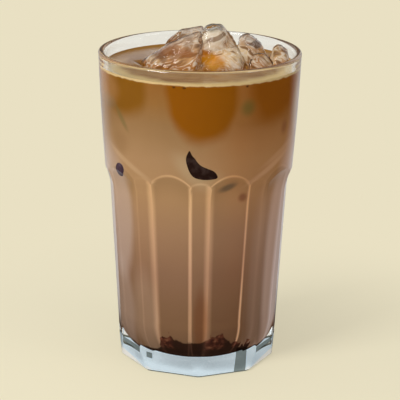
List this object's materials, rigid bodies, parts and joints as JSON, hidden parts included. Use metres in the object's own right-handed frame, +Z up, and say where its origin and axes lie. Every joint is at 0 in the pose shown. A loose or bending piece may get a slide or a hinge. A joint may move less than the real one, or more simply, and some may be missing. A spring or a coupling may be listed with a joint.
{
  "type": "iced coffee",
  "caption": "Tall pressed glass tumbler with flat sides and a plain wide mouth, filled with layered iced milk coffee over a dark syrup, with lumps of ice standing out of the top.",
  "frame": {"origin": "middle of the foot of the glass, on the table", "axes": "+Z up along the axis of the glass; -Y is the front, where a ridge between two flat sides faces the viewer; +X to the viewer's right"},
  "size_m": [0.0924, 0.0924, 0.1575],
  "materials": {
    "glass": "clear pressed glass, fire polished",
    "syrup": "dark, wet, grainy layer seen through the glass",
    "milky_coffee": "opaque milky liquid, wet",
    "coffee": "deep amber liquid, wet",
    "ice": "wet clear ice with cracks and cloudy cores"
  },
  "bodies": {
    "root": {"glass": "glass", "syrup": "syrup", "milky_coffee": "milky_coffee", "coffee": "coffee", "ice_peak": "ice", "ice_left": "ice", "ice_back": "ice", "ice_front": "ice", "ice_right": "ice", "ice_chip": "ice", "ice_edge": "ice"}
  },
  "joints": []
}
